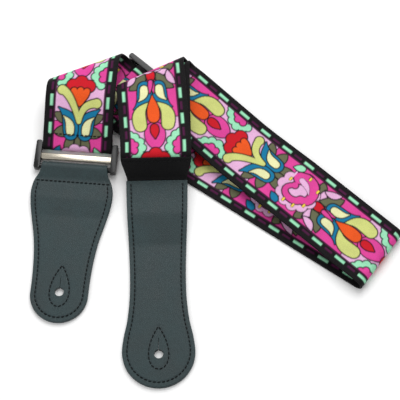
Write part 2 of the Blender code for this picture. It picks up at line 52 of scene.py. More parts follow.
MM = 0.001
ORIGIN = (1.33, -1.57)
WIDTH, THICK, GAP = 50.0, 1.5, 0.3
PLY = THICK + GAP
LEATHER = 1.3
HOLE_RADIUS, SLIT_WIDTH, SLIT_LENGTH = 3.15, 0.35, 8.0
STITCH_INSET = 3.4
NECK_TOP, NECK_HEADING, NECK_LENGTH, NECK_HOLE = (-40.1, 21.6), 91.3, 149.0, 23.0
NECK_OUTLINE = ((0, 24.9), (24.9, 24.9), (34, 23.9), (46, 21.4), (60, 19.8), (78, 19.4),
                (100, 20.1), (126, 21.3), (149, 21.9))
SANDWICH, CLIMB = 22.0, 67.0
OUTER_TOP, OUTER_FOOT, INNER_TOP, INNER_FOOT = 24.5, 9.2, 21.5, 13.4
OUTER_LENGTH, INNER_LENGTH = 57.5, 59.0
OUTER_HEADING, OUTER_CREST, INNER_CREST = 95.0, 26.2, 24.9
OUTER_TAIL = 34.0
FAR_FOLD, FAR_RADIUS = 52.3, 4.2
BAND_LENGTH, FLOOR_RUN, TURN_LENGTH = 215.0, 155.1, 50.0
RING_BAR, TAIL_HEADING, BAR_HEIGHT, BAR_RADIUS = (-97.9, 49.3), 85.5, 3.7, 1.9
LOWER_AT = 16.9
SHORT_CLIMB, SHORT_TOP, SHORT_LENGTH, SHORT_CREST, WEDGE = 27.0, 24.0, 52.0, 22.0, 28.0
TAIL_OUTLINE = ((0, 20.0), (20, 20.0), (36, 20.3), (50, 21.4), (62, 23.2), (75, 26.2), (88, 28.6),
                (97, 29.0), (104, 27.6), (110, 24.6), (113, 24.0), (160, 24.0))
TAIL_LENGTH, TAIL_HOLE, FLAP = 116.4, 21.8, 24.0
SLIDE_AT, SLIDE_THIN, SLIDE_CLEAR, SLIDE_HEM = 16.0, 1.6, 22.0, 11.0
WEB_AT_SLIDE = 0.2 + SLIDE_THIN + GAP + THICK / 2
LONG_AT_SLIDE = WEB_AT_SLIDE + PLY
HEM_RADIUS = SLIDE_THIN / 2 + 0.4 + THICK / 2


def bend(s, angle, radius, slant=0.0):
    return {"s": s, "angle": angle, "radius": radius, "slant": slant}


def turn(s, angle, length):
    return {"s": s, "turn": angle, "length": length}


def arc(angle, radius):
    return abs(radians(angle)) * radius


def step(s, rise, angle, radius):
    sign = 1 if rise > 0 else -1
    run = (abs(rise) - 2 * radius * (1 - cos(radians(angle)))) / sin(radians(angle))
    second = s + arc(angle, radius) + run
    return [bend(s, sign * angle, radius), bend(second, -sign * angle, radius)], second + arc(angle, radius)


class Strip:
    """Maps flat (u, s, h), with h above the middle of the strip, to the folded shape."""

    def __init__(self, bends, at, heading, pitch=0.0):
        self.bends = bends
        self.turned, self.moved = np.eye(3), np.zeros(3)
        point, along, face = self.frame(0.0)
        h, p = radians(heading), radians(pitch)
        new_along = np.array([cos(h) * cos(p), sin(h) * cos(p), sin(p)])
        new_face = np.array([-cos(h) * sin(p), -sin(h) * sin(p), cos(p)])
        old = np.column_stack([np.cross(along, face), along, face])
        new = np.column_stack([np.cross(new_along, new_face), new_along, new_face])
        self.turned = new @ old.T
        self.moved = np.array(at) - self.turned @ point

    def frame(self, s, u=0.0):
        tiny = 1e-3
        point = self.points(u, s)
        return point, (self.points(u, s + tiny) - point) / tiny, self.points(u, s, 1.0) - point

    def points(self, u, s, h=0.0):
        u, s, h = np.broadcast_arrays(np.asarray(u, float), np.asarray(s, float), np.asarray(h, float))
        place = np.stack([u, s, h], -1)
        for item in reversed(self.bends):
            place = self.steer(place, s, item) if "turn" in item else self.roll(place, u, s, item)
        return place @ self.turned.T + self.moved

    @staticmethod
    def steer(place, s, item):
        angle = radians(item["turn"])
        radius = item["length"] / angle
        reached = np.clip((s - item["s"]) / item["length"], 0, 1) * angle
        beyond = np.where(s > item["s"] + item["length"], place[..., 1] - item["s"] - item["length"], 0.0)
        new = place.copy()
        new[..., 0] = (radius + place[..., 0]) * np.cos(reached) - beyond * np.sin(reached) - radius
        new[..., 1] = item["s"] + (radius + place[..., 0]) * np.sin(reached) + beyond * np.cos(reached)
        return np.where((s > item["s"])[..., None], new, place)

    @staticmethod
    def roll(place, u, s, item):
        slant, angle, radius = radians(item["slant"]), radians(item["angle"]), item["radius"]
        sign, angle = (1 if angle > 0 else -1), abs(angle)
        line = np.array([cos(slant), sin(slant), 0.0])
        across = np.array([-sin(slant), cos(slant), 0.0])
        centre = np.array([0.0, item["s"], 0.0])
        distance = u * across[0] + (s - item["s"]) * across[1]
        rest = np.where(distance > radius * angle, (place - centre) @ across - radius * angle, 0.0)
        t = np.clip(distance / radius, 0, angle)
        height = place[..., 2]
        forward = radius * np.sin(t) + rest * np.cos(t) - sign * height * np.sin(t)
        up = sign * (radius * (1 - np.cos(t)) + rest * np.sin(t)) + height * np.cos(t)
        new = centre + ((place - centre) @ line)[..., None] * line + forward[..., None] * across
        new[..., 2] += up
        return np.where((distance > 0)[..., None], new, place)


def climb_out(low, high, first, second):
    lost = (first + second) * (1 - cos(radians(CLIMB)))
    run = (high - low - lost) / sin(radians(CLIMB))
    top = 1 + arc(CLIMB, first) + run
    return [bend(1, CLIMB, first), bend(top, -CLIMB, second)], top + arc(CLIMB, second)


def neck_height(layer):
    return LEATHER / 2 if layer == 0 else LEATHER + GAP + THICK / 2 + (layer - 1) * PLY


def outer_webbing():
    bends, level = climb_out(neck_height(2), OUTER_TOP, 3.7, 4.8)
    crest = level + OUTER_LENGTH
    radius = (OUTER_TOP - OUTER_FOOT) / 2
    bends.append(turn(level + 1, OUTER_HEADING - NECK_HEADING, 12))
    bends.append(bend(crest, -180, radius, OUTER_CREST - (OUTER_HEADING - 90)))
    return Strip(bends, (*NECK_TOP, neck_height(2)), NECK_HEADING), crest + arc(180, radius) + OUTER_TAIL


def short_webbing():
    radius = BAR_RADIUS + GAP + THICK / 2
    slope = radians(SHORT_CLIMB)
    easing = 25.0
    start = BAR_HEIGHT + radius * cos(slope)
    run = (SHORT_TOP - start - easing * (1 - cos(slope))) / sin(slope)
    crest_radius = (SHORT_TOP - WEB_AT_SLIDE) / 2
    flap = arc(180 + WEDGE, radius)
    bends = [bend(-flap - 6.2 - arc(WEDGE, 6), WEDGE, 6), bend(-flap, -180 - WEDGE, radius)]
    bends.append(bend(run, -SHORT_CLIMB, easing))
    bends.append(bend(SHORT_LENGTH, -180, crest_radius, SHORT_CREST - (TAIL_HEADING - 90)))
    slide = SHORT_LENGTH + arc(180, crest_radius) + SLIDE_AT
    down, end = step(slide + SLIDE_CLEAR, WEB_AT_SLIDE - THICK / 2, 6, 15)
    heading = radians(TAIL_HEADING)
    at = (RING_BAR[0] - radius * sin(slope) * cos(heading),
          RING_BAR[1] - radius * sin(slope) * sin(heading), start)
    return Strip(bends + down, at, TAIL_HEADING, SHORT_CLIMB), -flap - 6.2 - arc(WEDGE, 6) - 7, slide, end + 3


def long_webbing(slide_point, slide_heading):
    bends, level = climb_out(neck_height(1), INNER_TOP, 5.5, 3.0)
    crest = level + INNER_LENGTH
    radius = (INNER_TOP - INNER_FOOT) / 2
    bends.append(bend(crest, -180, radius, INNER_CREST - (NECK_HEADING - 90)))
    heading = 2 * INNER_CREST - NECK_HEADING
    start = crest + arc(180, radius) + 18
    bends += [bend(start, 6, 30), bend(start + 60, -6, 30)]
    low = INNER_FOOT - 60 * sin(radians(6))
    lift = 2 * FAR_RADIUS + THICK / 2 - low
    second = start + 72 + lift / sin(radians(3.5))
    bends += [bend(start + 72, -3.5, 40), bend(second, 3.5, 40)]
    fold = crest + BAND_LENGTH
    bends.append(bend(fold, 180, FAR_RADIUS, heading + 90 - FAR_FOLD))
    heading = 2 * FAR_FOLD - heading
    fold_end = fold + arc(180, FAR_RADIUS)
    bends.append(turn(fold_end + FLOOR_RUN, slide_heading - 180 - heading + 360, TURN_LENGTH))
    steered = fold_end + FLOOR_RUN + TURN_LENGTH
    flat = Strip(bends, (*NECK_TOP, neck_height(1)), NECK_HEADING)
    point, along, _ = flat.frame(steered + 1)
    ahead = float((slide_point - point)[:2] @ along[:2]) + steered + 1
    rise = LONG_AT_SLIDE - THICK / 2
    loss = rise / sin(radians(6)) - rise / np.tan(radians(6))
    lift_bends, _ = step(ahead - 28 - rise / np.tan(radians(6)), rise, 6, 15)
    wrap = ahead + loss
    bends = bends + lift_bends + [bend(wrap, 180, HEM_RADIUS)]
    over = wrap + arc(180, HEM_RADIUS)
    down, hem_end = step(over + 1.5, 2 * HEM_RADIUS - PLY, 24, 3)
    strip = Strip(bends + down, (*NECK_TOP, neck_height(1)), NECK_HEADING)
    return strip, crest, fold_end, wrap, max(over + SLIDE_HEM, hem_end + 1)


def neck_front():
    high = neck_height(2) + THICK / 2 + GAP + LEATHER / 2
    down, _ = step(SANDWICH + 1, LEATHER * 1.5 + GAP - high, 9, 25)
    return Strip(down, (*NECK_TOP, high), NECK_HEADING + 180)


def lower_bar():
    h = radians(TAIL_HEADING)
    return RING_BAR[0] - LOWER_AT * cos(h), RING_BAR[1] - LOWER_AT * sin(h)


def tail_front():
    low = LEATHER * 1.5 + GAP
    flap_front = low + LEATHER + GAP
    radius = BAR_RADIUS + GAP + LEATHER / 2
    bends, _ = step(TAIL_LENGTH - FLAP - 16, flap_front - low, 7, 20)
    rise = BAR_HEIGHT + radius - flap_front
    run = rise / np.tan(radians(18))
    up, level = step(TAIL_LENGTH - run - 3.5, rise, 18, 6)
    bends += up + [bend(level, -180, radius)]
    behind = level + arc(180, radius)
    lower, _ = step(behind + 4, BAR_HEIGHT - radius - low, 12, 6)
    strip = Strip(bends + lower, (0, 0, low), TAIL_HEADING)
    shift = np.array([*lower_bar(), 0.0]) - strip.points(0, level)
    strip.moved += np.array([shift[0], shift[1], 0.0])
    return strip, behind + FLAP - 4


# ---- The print: one repeat of flowers and leaves, drawn as soft-edged brush strokes ---------------

REPEAT = 142.0
PRINT_HALF = 17.3
CELL = 0.25


def tint(r, g, b):
    value = np.array([r, g, b], float) / 255
    return np.where(value <= 0.04045, value / 12.92, ((value + 0.055) / 1.055) ** 2.4)


HOT, PALE, BLUE, LIME = tint(214, 66, 148), tint(222, 172, 210), tint(14, 116, 156), tint(200, 206, 122)
MINT, RED, ORANGE, OLIVE = tint(150, 220, 180), tint(196, 18, 34), tint(226, 84, 26), tint(98, 100, 74)
WINE, INK, SUN, CREAM = tint(74, 16, 60), tint(12, 9, 12), tint(236, 208, 70), tint(226, 226, 172)


class Tile:
    """One repeat of the print as a grid of colours over (u, p)."""

    def __init__(self):
        self.u = np.arange(-25, 25 + CELL / 2, CELL)
        self.p = np.arange(0, REPEAT, CELL)
        self.pp, self.uu = np.meshgrid(self.p, self.u)
        self.colour = np.empty((*self.uu.shape, 3))
        self.colour[:] = HOT

    def wrapped(self, centre):
        return centre + (self.pp - centre + REPEAT / 2) % REPEAT - REPEAT / 2

    def distance(self, points, widths):
        """Distance to a brush stroke whose half width changes along it."""
        points = np.array(points, float)
        widths = np.broadcast_to(np.array(widths, float), len(points))
        p = self.wrapped(points[:, 1].mean())
        best = np.full(self.uu.shape, 1e9)
        near = (np.abs(p - points[:, 1].mean()) < np.ptp(points[:, 1]) / 2 + widths.max() + 3)
        x, y = self.uu[near], p[near]
        found = np.full(x.shape, 1e9)
        for (a, b, wa, wb) in zip(points, points[1:], widths, widths[1:]):
            d = b - a
            t = np.clip(((x - a[0]) * d[0] + (y - a[1]) * d[1]) / max(d @ d, 1e-9), 0, 1)
            gap = np.hypot(x - a[0] - t * d[0], y - a[1] - t * d[1]) - (wa + t * (wb - wa))
            found = np.minimum(found, gap)
        best[near] = found
        return best

    def fill(self, distance, colour, edge=0.0):
        cover = np.clip(0.5 - (distance - edge) / 0.4, 0, 1)[..., None]
        self.colour = self.colour * (1 - cover) + np.asarray(colour) * cover

    def shape(self, strokes, colour, outline=0.85):
        """The union of brush strokes in one colour, with a dark outline."""
        distance = np.min([self.distance(points, widths) for points, widths in strokes], axis=0)
        if outline:
            self.fill(distance, INK, outline)
        self.fill(distance, colour)


def curve(*knots, count=12):
    """A smooth curve through a few points."""
    knots = np.array(knots, float)
    t = np.linspace(0, len(knots) - 1, count)
    degree = min(len(knots) - 1, 3)
    fit = [np.polyval(np.polyfit(np.arange(len(knots)), knots[:, i], degree), t) for i in (0, 1)]
    return np.column_stack(fit)


def drop(start, end, width, sway=0.0, count=12):
    """A teardrop from its point to its round end, which may sway sideways."""
    a, b = np.array(start, float), np.array(end, float)
    t = np.linspace(0, 1, count)
    side = np.array([-(b - a)[1], (b - a)[0]])
    points = a + t[:, None] * (b - a) + (np.sin(pi * t) * sway)[:, None] * side
    return points, 0.15 + width * np.sin(pi * np.clip(t, 0, 1) * 0.62) ** 1.25


def leaf(start, end, width, sway=0.0, count=12):
    a, b = np.array(start, float), np.array(end, float)
    t = np.linspace(0, 1, count)
    side = np.array([-(b - a)[1], (b - a)[0]])
    return a + t[:, None] * (b - a) + (np.sin(pi * t) * sway)[:, None] * side, 0.1 + width * np.sin(pi * t)


def dot(u, p, radius):
    return np.array([[u, p], [u, p + 0.01]]), radius


def both(tile, stroke, colour, outline=0.85):
    """The same stroke on the left and on the right."""
    points, widths = stroke
    for side in (1, -1):
        tile.shape([(points * np.array([side, 1.0]), widths)], colour, outline)


def both_many(tile, strokes, colour, outline=0.85):
    for side in (1, -1):
        tile.shape([(points * np.array([side, 1.0]), widths) for points, widths in strokes], colour, outline)


def draw_butterfly(tile):
    """Blue leaves with pale yellow drops inside, on hot pink with olive leaves."""
    both(tile, leaf((4.5, -17.5), (15.8, -5.0), 3.6, 0.10), OLIVE)
    both(tile, leaf((12.5, -19.0), (17.0, -8.0), 2.2, 0.10), PALE)
    both(tile, drop((13.6, 10.6), (5.0, -6.2), 5.0, -0.16), BLUE)
    both(tile, drop((10.0, 4.6), (5.4, -5.2), 2.7, -0.14), CREAM)
    both(tile, drop((1.4, -1.5), (0.4, -10.5), 1.3), HOT)


def draw_teardrop(tile):
    """Orange teardrop with a large yellow-green comma on each side."""
    both(tile, drop((1.6, 5.5), (9.8, 24.0), 4.5, -0.2), LIME)
    tile.shape([drop((0, 0.5), (0, 18.0), 4.1)], ORANGE)


def draw_petal(tile):
    """Hot-pink pointed petal with a red drop inside."""
    tile.shape([drop((0, 43.5), (0, 28.5), 7.0)], HOT)
    tile.shape([drop((0, 34.5), (0, 26.0), 2.7)], RED)


def draw_waves(tile):
    """Mint scalloped bands running out to both edges, with hot-pink blobs outside them."""
    band = [dot(11.6, 46.0, 2.9), dot(9.6, 41.5, 2.9), dot(11.2, 36.6, 3.0), dot(14.6, 32.6, 3.0),
            dot(18.2, 30.4, 2.8),
            dot(14.4, 48.6, 2.6), dot(14.0, 39.5, 4.4)]
    both_many(tile, band, MINT)
    blobs = [dot(14.6, 39.0, 2.3), dot(15.0, 43.4, 2.3), dot(17.6, 36.4, 2.6), dot(18.2, 41.5, 3.2)]
    both_many(tile, blobs, HOT)


def draw_flower(tile):
    """Red flower of three broad lobes, with an orange bud over it."""
    lobes = [dot(-5.6, 49.5, 4.6), dot(5.6, 49.5, 4.6), dot(0, 46.2, 4.4), drop((0, 61.0), (0, 51.0), 6.6)]
    tile.shape(lobes, RED)
    tile.shape([drop((0, 64.5), (0, 56.5), 3.6), drop((-1.5, 62.5), (-4.6, 53.5), 2.2),
                drop((1.5, 62.5), (4.6, 53.5), 2.2),
                drop((0, 62.0), (0, 53.0), 2.2)], ORANGE)


def draw_scroll(tile):
    """Thick yellow-green V whose ends curl outwards."""
    left = curve((0.2, 75.5), (-3.2, 66.0), (-7.6, 58.0), (-13.2, 53.0))
    right = curve((0.2, 75.5), (2.4, 67.5), (6.4, 63.2), (12.6, 61.5))
    widths = np.linspace(1.6, 2.9, 12)
    tile.shape([(left, widths), (right, widths), dot(-13.2, 53.4, 3.2), dot(12.4, 61.6, 3.2)], LIME)


def draw_reversed(tile):
    """Blue leaves the other way round, over broad olive rays."""
    for start, end, width in (((3, 76), (17.5, 70), 3.4), ((3, 80), (16.8, 84), 3.8),
                              ((2, 84), (8.5, 96.5), 3.6),
                              ((0.5, 84), (0.5, 98), 1.8)):
        both(tile, leaf(start, end, width, 0.05), OLIVE)
    both(tile, drop((14.8, 66.0), (5.2, 84.0), 5.1, 0.16), BLUE)
    both(tile, drop((11.0, 72.0), (5.6, 83.0), 2.7, 0.14), CREAM)


def draw_cloud(tile):
    """Pale scalloped cloud with a curled pink paisley, small squares and a blue drop."""
    ring = [(11.4 * cos(a), 108.0 + 12.0 * sin(a)) for a in np.linspace(0, 2 * pi, 12)[:-1]]
    tile.shape([dot(u, p, 4.2) for u, p in ring] + [dot(0, 108.0, 11.0)], PALE, 0.6)
    hook = curve((2.0, 103.5), (-5.2, 100.2), (-8.2, 107.0), (-4.0, 113.5))
    body = curve((-4.0, 113.5), (1.5, 118.5), (9.5, 114.0), (8.6, 103.0))
    tile.shape([(hook, np.linspace(1.5, 2.6, 12)), (body, np.linspace(2.6, 4.4, 12)),
                dot(2.0, 103.5, 2.3)], HOT)
    tile.shape([drop((2.5, 115.6), (8.0, 105.0), 1.9, 0.1)], PALE, 0.35)
    for u, p in ((-11.5, 104.0), (-10.8, 112.0), (-6.0, 118.0), (4.0, 98.0), (12.8, 109.0), (8.6, 119.0)):
        tile.shape([(np.array([[u - 0.7, p], [u + 0.7, p]]), 0.8)], SUN, 0.35)
    tile.shape([drop((-12.6, 94.0), (-15.4, 99.5), 2.2)], BLUE)
    tile.shape([drop((12.6, 94.0), (15.4, 99.5), 2.2)], MINT)


def draw_triangles(tile):
    """Pale pointed shapes and olive leaves before the blue leaves return."""
    both(tile, leaf((6.0, 122.0), (16.8, 118.0), 3.0, 0.05), OLIVE)
    both(tile, leaf((0.5, 130.0), (13.0, 122.5), 2.6, -0.08), PALE)
    tile.shape([drop((0, 132.5), (0, 124.5), 2.8)], RED)


def draw_border(tile):
    """Black borders with mint dashes and darker wine dashes between them."""
    tile.fill(PRINT_HALF - np.abs(tile.uu), INK)
    tile.fill(np.abs(np.abs(tile.uu) - 17.8) - 0.28, WINE)
    pitch = REPEAT / 7
    along = (tile.pp + pitch / 2) % pitch - pitch / 2
    edge = np.abs(np.abs(tile.uu) - 20.3)
    tile.fill(np.maximum(edge - 1.05, np.abs(along) - 4.1), MINT)
    tile.fill(np.maximum(edge - 0.75, np.abs(np.abs(along) - pitch / 2) - 3.2), WINE)


def print_tile():
    tile = Tile()
    tile.fill(np.abs(tile.wrapped(47.0) - 47.0) - 26.0 + 3.0 * np.cos(tile.uu / 5.0), INK)
    tile.fill(np.abs(tile.wrapped(47.0) - 47.0) - 25.3 + 3.0 * np.cos(tile.uu / 5.0), PALE)
    for draw in (draw_triangles, draw_butterfly, draw_waves, draw_petal, draw_teardrop, draw_reversed,
                 draw_flower, draw_scroll, draw_cloud, draw_border):
        draw(tile)
    return tile


def sample(tile, u, p):
    """Colours of the print at strap coordinates, between the grid's cells."""
    x = np.clip((u + 25) / CELL, 0, len(tile.u) - 1.001)
    y = (p % REPEAT) / CELL
    i, j = np.floor(x).astype(int), np.floor(y).astype(int)
    fx, fy = (x - i)[..., None], (y - j)[..., None]
    n = len(tile.p)
    j0, j1 = j % n, (j + 1) % n
    c = tile.colour
    low = c[i, j0] * (1 - fy) + c[i, j1] * fy
    high = c[i + 1, j0] * (1 - fy) + c[i + 1, j1] * fy
    return low * (1 - fx) + high * fx


# ---- Meshes ---------------------------------------------------------------------------------------

def to_row(points):
    return (np.asarray(points, float) - np.array([ORIGIN[0], ORIGIN[1], 0.0])) * MM


def link(name, mesh):
    obj = bpy.data.objects.new(name, mesh)
    bpy.context.scene.collection.objects.link(obj)
    return obj


def mesh_of(name, points, faces, material, smooth=True):
    mesh = bpy.data.meshes.new(name)
    mesh.from_pydata(np.asarray(points).tolist(), [], [tuple(f) for f in faces])
    mesh.materials.append(material)
    if smooth:
        mesh.shade_smooth()
    mesh.update()
    return link(name, mesh)


def ring_faces(rows, count, closed=False):
    i = np.arange(rows if closed else rows - 1)[:, None] * count
    nxt = (i + count) % (rows * count)
    j = np.arange(count)[None, :]
    k = (j + 1) % count
    return np.stack([i + j, i + k, nxt + k, nxt + j], -1).reshape(-1, 4).tolist()


def set_vectors(mesh, name, values):
    layer = mesh.attributes.new(name, "FLOAT_VECTOR", "POINT")
    layer.data.foreach_set("vector", np.asarray(values, np.float32).ravel())


def gathered(s):
    """Half the webbing's width, less where it is gathered to enter the leather."""
    share = np.clip(np.asarray(s, float) / 24.0, 0, 1)
    return WIDTH / 2 - 3.8 * (1 - share * share * (3 - 2 * share))


def section(half, thick, columns):
    """Outline of a strip's cross section: (u, h, side), side 1 on the face and -1 on the back."""
    flat = np.linspace(-1, 1, columns) * (half - 0.45)
    face = [(u, thick / 2, 1) for u in flat]
    back = [(u, -thick / 2, -1) for u in flat[::-1]]
    right = [(half - 0.45 + 0.45 * cos(a), thick / 2 * sin(a), 0) for a in (1.0, 0.45, 0, -0.45, -1.0)]
    left = [(-u, -h, 0) for u, h, _ in right]
    return np.array(face + right + back + left)


def webbing(name, strip, start, end, phase_face, phase_back, tile, material, gather=False, cell=0.6):
    """A woven strip with the print on both faces. The print runs against s on the face."""
    shape = section(WIDTH / 2, THICK, int(WIDTH / cell) + 1)
    rows = int((end - start) / cell) + 2
    s = np.linspace(start, end, rows)[:, None]
    u, h, side = shape[:, 0][None], shape[:, 1][None], shape[:, 2][None]
    wide = gathered(s) / (WIDTH / 2) if gather else 1.0
    points = to_row(strip.points(u * wide, s + 0 * u, h + 0 * s)).reshape(-1, 3)
    u, s, side = np.broadcast_arrays(u, s, side)
    printed = np.where(side[..., None] >= 0, sample(tile, u, phase_face - s), sample(tile, u, s + phase_back))
    printed = np.where((np.abs(u) > WIDTH / 2 - 0.5)[..., None], INK, printed)
    count = len(shape)
    faces = ring_faces(rows, count)
    half = count // 2
    last = (rows - 1) * count
    for j in range(half - 1):
        k = count - 1 - j - 5
        near, far = j, (k % count)
        nxt, prior = j + 1, ((k - 1) % count)
        faces.append((near, far, prior, nxt))
        faces.append((last + nxt, last + prior, last + far, last + near))
    obj = mesh_of(name, points, faces, material)
    colour = obj.data.attributes.new("print", "FLOAT_COLOR", "POINT")
    rgba = np.concatenate([printed.reshape(-1, 3), np.ones((printed.size // 3, 1))], 1)
    colour.data.foreach_set("color", rgba.astype(np.float32).ravel())
    set_vectors(obj.data, "flat", np.stack([u, s, side], -1).reshape(-1, 3))
    clean(obj)
    return obj


def clean(obj):
    """Consistent outward normals, with doubled points merged and open ends filled."""
    work = bmesh.new()
    work.from_mesh(obj.data)
    bmesh.ops.remove_doubles(work, verts=work.verts, dist=1e-6)
    loose = [e for e in work.edges if len(e.link_faces) == 1]
    if loose:
        bmesh.ops.holes_fill(work, edges=loose, sides=0)
    bmesh.ops.recalc_face_normals(work, faces=work.faces)
    work.to_mesh(obj.data)
    work.free()


def half_width(outline, t):
    radius = outline[0][1]
    if t < radius:
        return sqrt(max(radius ** 2 - (radius - t) ** 2, 0.02))
    knots = np.array(outline[1:], float)
    slopes = np.gradient(knots[:, 1], knots[:, 0])
    slopes[0] = 0.0
    i = int(np.clip(np.searchsorted(knots[:, 0], t) - 1, 0, len(knots) - 2))
    width = knots[i + 1, 0] - knots[i, 0]
    x = min((t - knots[i, 0]) / width, 1.0)
    a, b = knots[i, 1], knots[i + 1, 1]
    return ((1 + 2 * x) * (1 - x) ** 2 * a + x * (1 - x) ** 2 * width * slopes[i]
            + x * x * (3 - 2 * x) * b - x * x * (1 - x) * width * slopes[i + 1])


def edge_distance(outline, u, t):
    """How far a point of the leather is from its edge."""
    radius = outline[0][1]
    widths = np.array([half_width(outline, max(v, 0.0)) for v in t.ravel()]).reshape(t.shape)
    side = widths - np.abs(u)
    round_end = radius - np.hypot(u, np.maximum(radius - t, 0))
    return np.where(t < radius, round_end, side)


def drop_distance(u, t, hole, half=8.6, tip=19.0, below=10.5):
    """Signed distance, roughly, to the teardrop of stitches round a button hole."""
    x = np.clip((t - hole + below) / (tip + below), 0, 1)
    a = np.arccos(np.clip(1 - 2 * x, -1, 1))
    width = half * np.sin(a) * np.maximum(0.5 + 0.5 * np.cos(a), 0) ** 0.42
    return np.abs(u) - width


def leather(name, strip, outline, length, from_top, start, end, material, hole, relief, cross=(), cell=0.85):
    """A leather leaf: rounded edges, seams pressed in, and a button hole with its slit."""
    columns = 61
    rows = int((end - start) / cell)
    s = np.linspace(start, end, rows)
    radius = outline[0][1]
    tip_at = length if from_top else 0.0
    fine = np.array([radius * (1 - cos(a)) for a in np.linspace(0.05, pi / 2, 40)])
    keep = s[np.abs(tip_at - s) > radius]
    ends = tip_at - fine if from_top else tip_at + fine
    s = np.unique(np.concatenate([keep, ends[(ends > start) & (ends < end)]]))
    t = length - s if from_top else s
    widths = np.array([half_width(outline, max(v, 0.02)) for v in t])
    across = np.linspace(-1, 1, columns)
    across = np.sign(across) * (1 - (1 - np.abs(across)) ** 1.25)
    u = widths[:, None] * across[None]
    tt, ss = np.repeat(t[:, None], columns, 1), np.repeat(s[:, None], columns, 1)
    inside = edge_distance(outline, u, tt)
    round_off = 0.42 * (1 - np.sqrt(np.clip(1 - (1 - np.clip(inside / 0.55, 0, 1)) ** 2, 0, 1)))
    top = LEATHER / 2 - round_off
    if relief:
        seam = np.exp(-((inside - STITCH_INSET) / 0.55) ** 2)
        seam = np.maximum(seam, np.exp(-(drop_distance(u, tt, hole) / 0.55) ** 2) * (np.abs(tt - hole) < 20))
        for line in cross:
            seam = np.maximum(seam, np.exp(-((ss - line) / 0.55) ** 2))
        top = top - 0.22 * seam * relief
    bottom = -LEATHER / 2 + round_off * 0.6
    ring_u = np.concatenate([u, u[:, ::-1]], 1)
    ring_s = np.concatenate([ss, ss], 1)
    ring_h = np.concatenate([top, bottom[:, ::-1]], 1)
    points = to_row(strip.points(ring_u, ring_s, ring_h)).reshape(-1, 3)
    count = 2 * columns
    faces = ring_faces(len(s), count)
    last = (len(s) - 1) * count
    for j in range(columns - 1):
        faces.append((j, count - 1 - j, count - 2 - j, j + 1))
        faces.append((last + j + 1, last + count - 2 - j, last + count - 1 - j, last + j))
    obj = mesh_of(name, points, faces, material)
    set_vectors(obj.data, "flat", np.stack([ring_u, ring_s, ring_h], -1).reshape(-1, 3))
    clean(obj)
    cut_hole(obj, strip, length - hole if from_top else hole, not from_top)
    return obj


def cut_hole(obj, strip, s, towards_top):
    """The round button hole and its slit, cut through the leaf."""
    point, along, face = strip.frame(s)
    along = along * (1 if towards_top else -1)
    across = np.cross(along, face)
    half = SLIT_WIDTH / 2
    start = degrees(np.arcsin(half / HOLE_RADIUS))
    outline = [(HOLE_RADIUS * cos(radians(a)), HOLE_RADIUS * sin(radians(a)))
               for a in np.linspace(90 + start, 450 - start, 48)]
    outline += [(half, HOLE_RADIUS + SLIT_LENGTH - half), (0, HOLE_RADIUS + SLIT_LENGTH),
                (-half, HOLE_RADIUS + SLIT_LENGTH - half)]
    rings = [[point + x * across + y * along + depth * face for x, y in outline] for depth in (-3, 3)]
    points = to_row(np.array(rings)).reshape(-1, 3)
    count = len(outline)
    faces = ring_faces(2, count) + [tuple(range(count)), tuple(range(2 * count - 1, count - 1, -1))]
    cutter = mesh_of("cutter", points, faces, obj.data.materials[0])
    clean(cutter)
    modifier = obj.modifiers.new("hole", "BOOLEAN")
    modifier.operation, modifier.object, modifier.solver = "DIFFERENCE", cutter, "EXACT"
    apply_modifiers(obj)
    bpy.data.objects.remove(cutter)


def apply_modifiers(obj):
    graph = bpy.context.evaluated_depsgraph_get()
    mesh = bpy.data.meshes.new_from_object(obj.evaluated_get(graph), preserve_all_data_layers=True,
                                           depsgraph=graph)
    obj.modifiers.clear()
    obj.data = mesh
    mesh.shade_smooth()
    mesh.set_sharp_from_angle(angle=radians(42))


def walk(path, spacing, closed):
    """Points along a path every so often, with the direction there."""
    path = np.array(path, float)
    if closed:
        path = np.vstack([path, path[:1]])
    lengths = np.concatenate([[0], np.cumsum(np.hypot(*np.diff(path, axis=0).T))])
    count = max(1, int(round(lengths[-1] / spacing)))
    mids = (np.arange(count) + 0.5) * lengths[-1] / count
    def at(d):
        return np.column_stack([np.interp(d, lengths, path[:, i]) for i in (0, 1)])
    return at(mids - 0.02), at(mids + 0.02), lengths[-1] / count


def stitches(name, strip, path, base, material, closed=False, pitch=3.1, thread=0.74):
    """Separate stitches along a seam, each dipping into the surface at both ends."""
    before, after, spacing = walk(path, pitch, closed)
    face = 1 if base > 0 else -1
    length = spacing * 0.80
    sides, rings = 8, 9
    points, faces = [], []
    angles = np.linspace(0, 2 * pi, sides, endpoint=False)
    for a, b in zip(before, after):
        along = (b - a) / np.hypot(*(b - a))
        side = np.array([-along[1], along[0]])
        twist = 0.10
        base_index = len(points) * 0 + sum(len(x) for x in points)
        for k in range(rings):
            x = -1 + 2 * k / (rings - 1)
            centre = (a + b) / 2 + along * x * length / 2 + side * twist * x
            swell = sqrt(max(1 - abs(x) ** 3.5, 0.0)) * 0.92 + 0.08
            height = base + face * (0.34 + 0.22 * (1 - x * x))
            ring_u = centre[0] + side[0] * np.cos(angles) * thread / 2 * swell
            ring_s = centre[1] + side[1] * np.cos(angles) * thread / 2 * swell
            ring_h = height + face * np.sin(angles) * thread / 2 * 0.8 * swell
            points.append(strip.points(ring_u, ring_s, ring_h))
        for face_ids in ring_faces(rings, sides):
            faces.append(tuple(base_index + i for i in face_ids))
        faces.append(tuple(base_index + i for i in range(sides)))
        faces.append(tuple(base_index + (rings - 1) * sides + i for i in reversed(range(sides))))
    obj = mesh_of(name, to_row(np.concatenate(points)), faces, material)
    clean(obj)
    return obj


